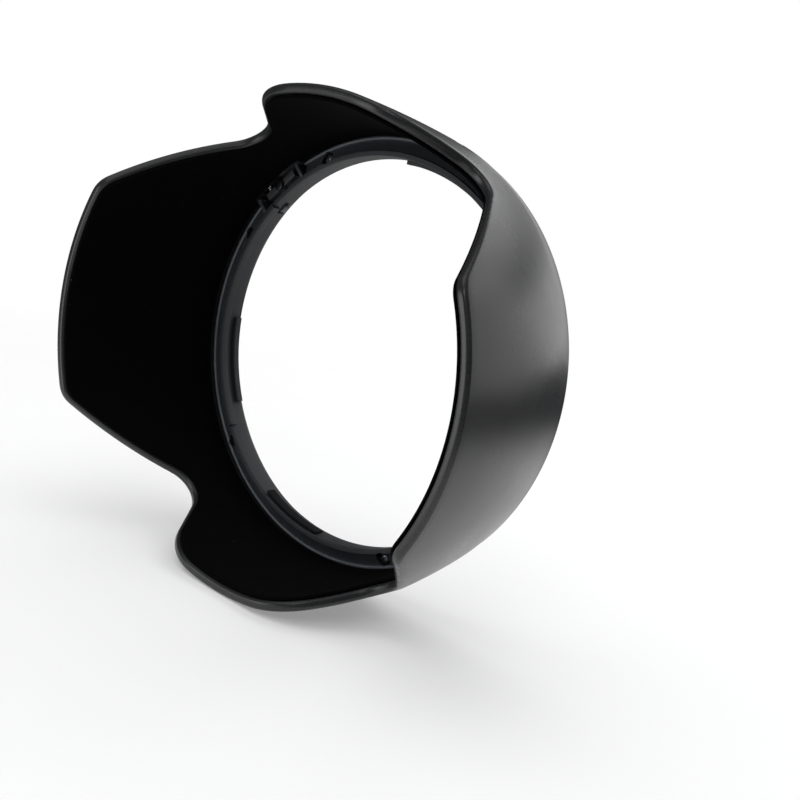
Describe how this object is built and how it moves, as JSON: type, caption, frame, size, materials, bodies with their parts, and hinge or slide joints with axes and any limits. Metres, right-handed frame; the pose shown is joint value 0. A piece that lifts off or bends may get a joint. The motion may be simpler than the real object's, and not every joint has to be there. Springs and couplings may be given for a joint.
{
  "type": "lens hood",
  "caption": "Petal-shaped lens hood with a flocked lining, a bayonet ring and a push-button lock.",
  "frame": {"origin": "on the hood's axis, in the plane where the outer edge of the bayonet ring's ledge meets the cone", "axes": "+Y along the axis towards the lens, so the petals open towards -Y; +X towards a long petal; +Z towards a short petal"},
  "size_m": [0.1046, 0.0426, 0.0988],
  "materials": {
    "shell_plastic": "satin black moulded plastic",
    "ring_plastic": "fine-grained black moulded plastic",
    "lock_plastic": "satin dark grey plastic",
    "flock": "short black flock",
    "felt": "pressed black felt",
    "spring_steel": "bright drawn steel",
    "black_steel": "black oxide",
    "mark_plastic": "white inlay"
  },
  "bodies": {
    "hood": {"petal_shell": "shell_plastic", "bayonet_ring": "ring_plastic", "lining_right": "flock", "lining_top": "flock", "lining_left": "flock", "lining_bottom": "flock", "pivot_pin": "spring_steel", "latch_spring": "spring_steel", "ring_screw_1": "black_steel", "ring_screw_2": "black_steel", "ring_screw_3": "black_steel", "ring_screw_4": "black_steel", "ring_screw_5": "black_steel", "ring_screw_6": "black_steel", "felt_pad_1": "felt", "felt_pad_2": "felt", "align_mark": "mark_plastic", "lock_mark": "mark_plastic"},
    "button": {"lock_button": "lock_plastic"},
    "lever": {"lock_lever": "lock_plastic"}
  },
  "joints": [
    {"name": "button_press", "type": "slide", "parent": "hood", "child": "button", "axis": [0.7314, 0, -0.682], "range_m": [0, 0.00065], "stiffness_N_per_m": 600, "springref_m": -0.0015},
    {"name": "lever_rock", "type": "hinge", "parent": "hood", "child": "lever", "pos_m": [-0.03203, 0.00075, 0.02987], "axis": [0, 1, 0], "range_deg": [0, 9], "deforming": ["latch_spring"]}
  ],
  "couplings": [
    {"joint": "lever_rock", "follows": "button_press", "rad_per_m": 238}
  ]
}
